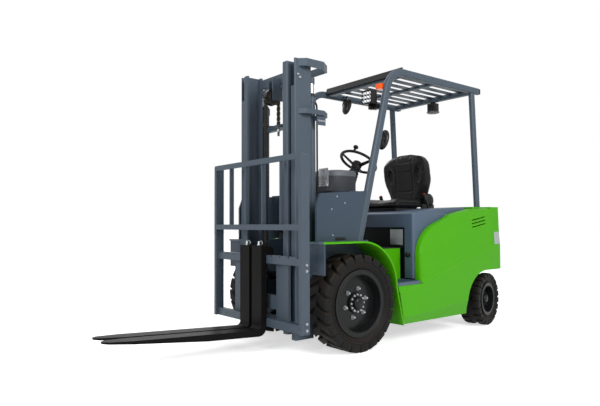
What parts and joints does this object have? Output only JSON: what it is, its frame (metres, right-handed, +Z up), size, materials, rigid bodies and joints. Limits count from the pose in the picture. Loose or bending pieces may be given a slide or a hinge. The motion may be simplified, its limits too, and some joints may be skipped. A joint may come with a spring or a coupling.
{
  "type": "electric counterbalance forklift truck",
  "caption": "Electric counterbalance forklift with telescopic mast, load backrest, adjustable forks, overhead guard, driver's seat, hinged battery hood and rear-wheel steering.",
  "frame": {"origin": "on the ground under the middle of the overall box", "axes": "+X forward along the forks, +Y to the driver's left, +Z up"},
  "size_m": [3.692, 1.224, 2.1739],
  "materials": {
    "mast_paint": "satin",
    "body_paint": "gloss",
    "cast_weight": "gloss paint",
    "chassis_black": "satin",
    "fork_black": "satin",
    "tyre_rubber": "matte",
    "rim_black": "satin",
    "rod_chrome": "polished",
    "chain_steel": "oiled",
    "battery_case": "painted",
    "cab_plastic": "grained",
    "floor_rubber": "ribbed",
    "seat_vinyl": "soft satin",
    "lamp_black": "gloss",
    "amber_lens": "gloss"
  },
  "bodies": {
    "chassis": {"drive_axle": "chassis_black", "steer_axle": "chassis_black", "frame": "chassis_black", "battery": "battery_case", "side_panels": "body_paint", "counterweight": "cast_weight", "fenders": "body_paint", "inner_fenders": "mast_paint", "steps": "mast_paint", "floor_plate": "floor_rubber", "entry_panels": "body_paint", "dash": "mast_paint", "instrument_cowl": "cab_plastic", "steering_column": "chassis_black", "controls": "cab_plastic", "guard_legs": "mast_paint", "guard_posts": "mast_paint", "guard_roof": "mast_paint", "guard_visor": "lamp_black", "work_lamps": "lamp_black", "turn_lamps": "amber_lens", "mirrors": "lamp_black", "rear_lamps": "lamp_black", "front_panel": "chassis_black"},
    "front_wheel_left": {"tyre_front_left": "tyre_rubber", "rim_front_left": "rim_black"},
    "front_wheel_right": {"tyre_front_right": "tyre_rubber", "rim_front_right": "rim_black"},
    "steer_knuckle_left": {"knuckle_left": "chassis_black"},
    "steer_knuckle_right": {"knuckle_right": "chassis_black"},
    "rear_wheel_left": {"tyre_rear_left": "tyre_rubber", "rim_rear_left": "rim_black"},
    "rear_wheel_right": {"tyre_rear_right": "tyre_rubber", "rim_rear_right": "rim_black"},
    "outer_mast": {"outer_rails": "mast_paint", "outer_ties": "mast_paint", "lift_barrels": "mast_paint"},
    "inner_mast": {"inner_rails": "mast_paint", "inner_ties": "mast_paint", "lift_rods": "rod_chrome", "chain_wheel": "chain_steel", "chain_rear": "chain_steel"},
    "fork_carriage": {"carriage": "mast_paint", "load_backrest": "mast_paint", "chain_front": "chain_steel"},
    "left_fork": {"fork_left": "fork_black"},
    "right_fork": {"fork_right": "fork_black"},
    "left_tilt_barrel": {"tilt_barrel_left": "chassis_black"},
    "right_tilt_barrel": {"tilt_barrel_right": "chassis_black"},
    "left_tilt_rod": {"tilt_rod_left": "rod_chrome"},
    "right_tilt_rod": {"tilt_rod_right": "rod_chrome"},
    "hood": {"battery_hood": "mast_paint", "seat_base": "chassis_black", "seat_cushion": "seat_vinyl", "seat_back": "seat_vinyl"},
    "hand_wheel": {"steering_wheel": "cab_plastic"}
  },
  "joints": [
    {"name": "front_left_spin", "type": "hinge", "parent": "chassis", "child": "front_wheel_left", "pos_m": [0.204, 0.502, 0.345], "axis": [0, 1, 0], "continuous": true},
    {"name": "front_right_spin", "type": "hinge", "parent": "chassis", "child": "front_wheel_right", "pos_m": [0.204, -0.502, 0.345], "axis": [0, 1, 0], "continuous": true},
    {"name": "steer_left", "type": "hinge", "parent": "chassis", "child": "steer_knuckle_left", "pos_m": [-1.396, 0.345, 0.231], "axis": [0, 0, 1], "range_deg": [-70, 50]},
    {"name": "steer_right", "type": "hinge", "parent": "chassis", "child": "steer_knuckle_right", "pos_m": [-1.396, -0.345, 0.231], "axis": [0, 0, 1], "range_deg": [-70, 50]},
    {"name": "rear_left_spin", "type": "hinge", "parent": "steer_knuckle_left", "child": "rear_wheel_left", "pos_m": [-1.41944, 0.47795, 0.231], "axis": [-0.1736, 0.9848, 0], "continuous": true},
    {"name": "rear_right_spin", "type": "hinge", "parent": "steer_knuckle_right", "child": "rear_wheel_right", "pos_m": [-1.37256, -0.47795, 0.231], "axis": [-0.1736, 0.9848, 0], "continuous": true},
    {"name": "mast_tilt", "type": "hinge", "parent": "chassis", "child": "outer_mast", "pos_m": [0.204, 0, 0.345], "axis": [0, 1, 0], "range_deg": [-10, 6]},
    {"name": "tilt_barrel_left_swing", "type": "hinge", "parent": "chassis", "child": "left_tilt_barrel", "pos_m": [-0.126, 0.2, 0.6], "axis": [0, 1, 0], "range_deg": [-3.7, 2.3]},
    {"name": "tilt_barrel_right_swing", "type": "hinge", "parent": "chassis", "child": "right_tilt_barrel", "pos_m": [-0.126, -0.2, 0.6], "axis": [0, 1, 0], "range_deg": [-3.7, 2.3]},
    {"name": "tilt_rod_left_reach", "type": "slide", "parent": "left_tilt_barrel", "child": "left_tilt_rod", "axis": [1, 0, 0], "range_m": [-0.046, 0.028]},
    {"name": "tilt_rod_right_reach", "type": "slide", "parent": "right_tilt_barrel", "child": "right_tilt_rod", "axis": [1, 0, 0], "range_m": [-0.046, 0.028]},
    {"name": "mast_lift", "type": "slide", "parent": "outer_mast", "child": "inner_mast", "axis": [0, 0, 1], "range_m": [-0.05, 1.425], "deforming": ["chain_rear"]},
    {"name": "carriage_lift", "type": "slide", "parent": "inner_mast", "child": "fork_carriage", "axis": [0, 0, 1], "range_m": [-0.05, 1.425], "deforming": ["chain_front"]},
    {"name": "fork_left_spread", "type": "slide", "parent": "fork_carriage", "child": "left_fork", "axis": [0, 1, 0], "range_m": [0, 0.385]},
    {"name": "fork_right_spread", "type": "slide", "parent": "fork_carriage", "child": "right_fork", "axis": [0, -1, 0], "range_m": [0, 0.385]},
    {"name": "hood_lift", "type": "hinge", "parent": "chassis", "child": "hood", "pos_m": [-1.246, 0, 0.99], "axis": [0, -1, 0], "range_deg": [0, 70]},
    {"name": "hand_wheel_turn", "type": "hinge", "parent": "chassis", "child": "hand_wheel", "pos_m": [-0.316, 0.06, 1.432], "axis": [-0.5299, 0, 0.848], "continuous": true}
  ],
  "couplings": [
    {"joint": "steer_right", "follows": "steer_left", "ratio": 1},
    {"joint": "tilt_barrel_left_swing", "follows": "mast_tilt", "ratio": 0.359},
    {"joint": "tilt_barrel_right_swing", "follows": "mast_tilt", "ratio": 0.359},
    {"joint": "tilt_rod_left_reach", "follows": "mast_tilt", "m_per_rad": 0.255},
    {"joint": "tilt_rod_right_reach", "follows": "mast_tilt", "m_per_rad": 0.255},
    {"joint": "carriage_lift", "follows": "mast_lift", "ratio": 1}
  ]
}
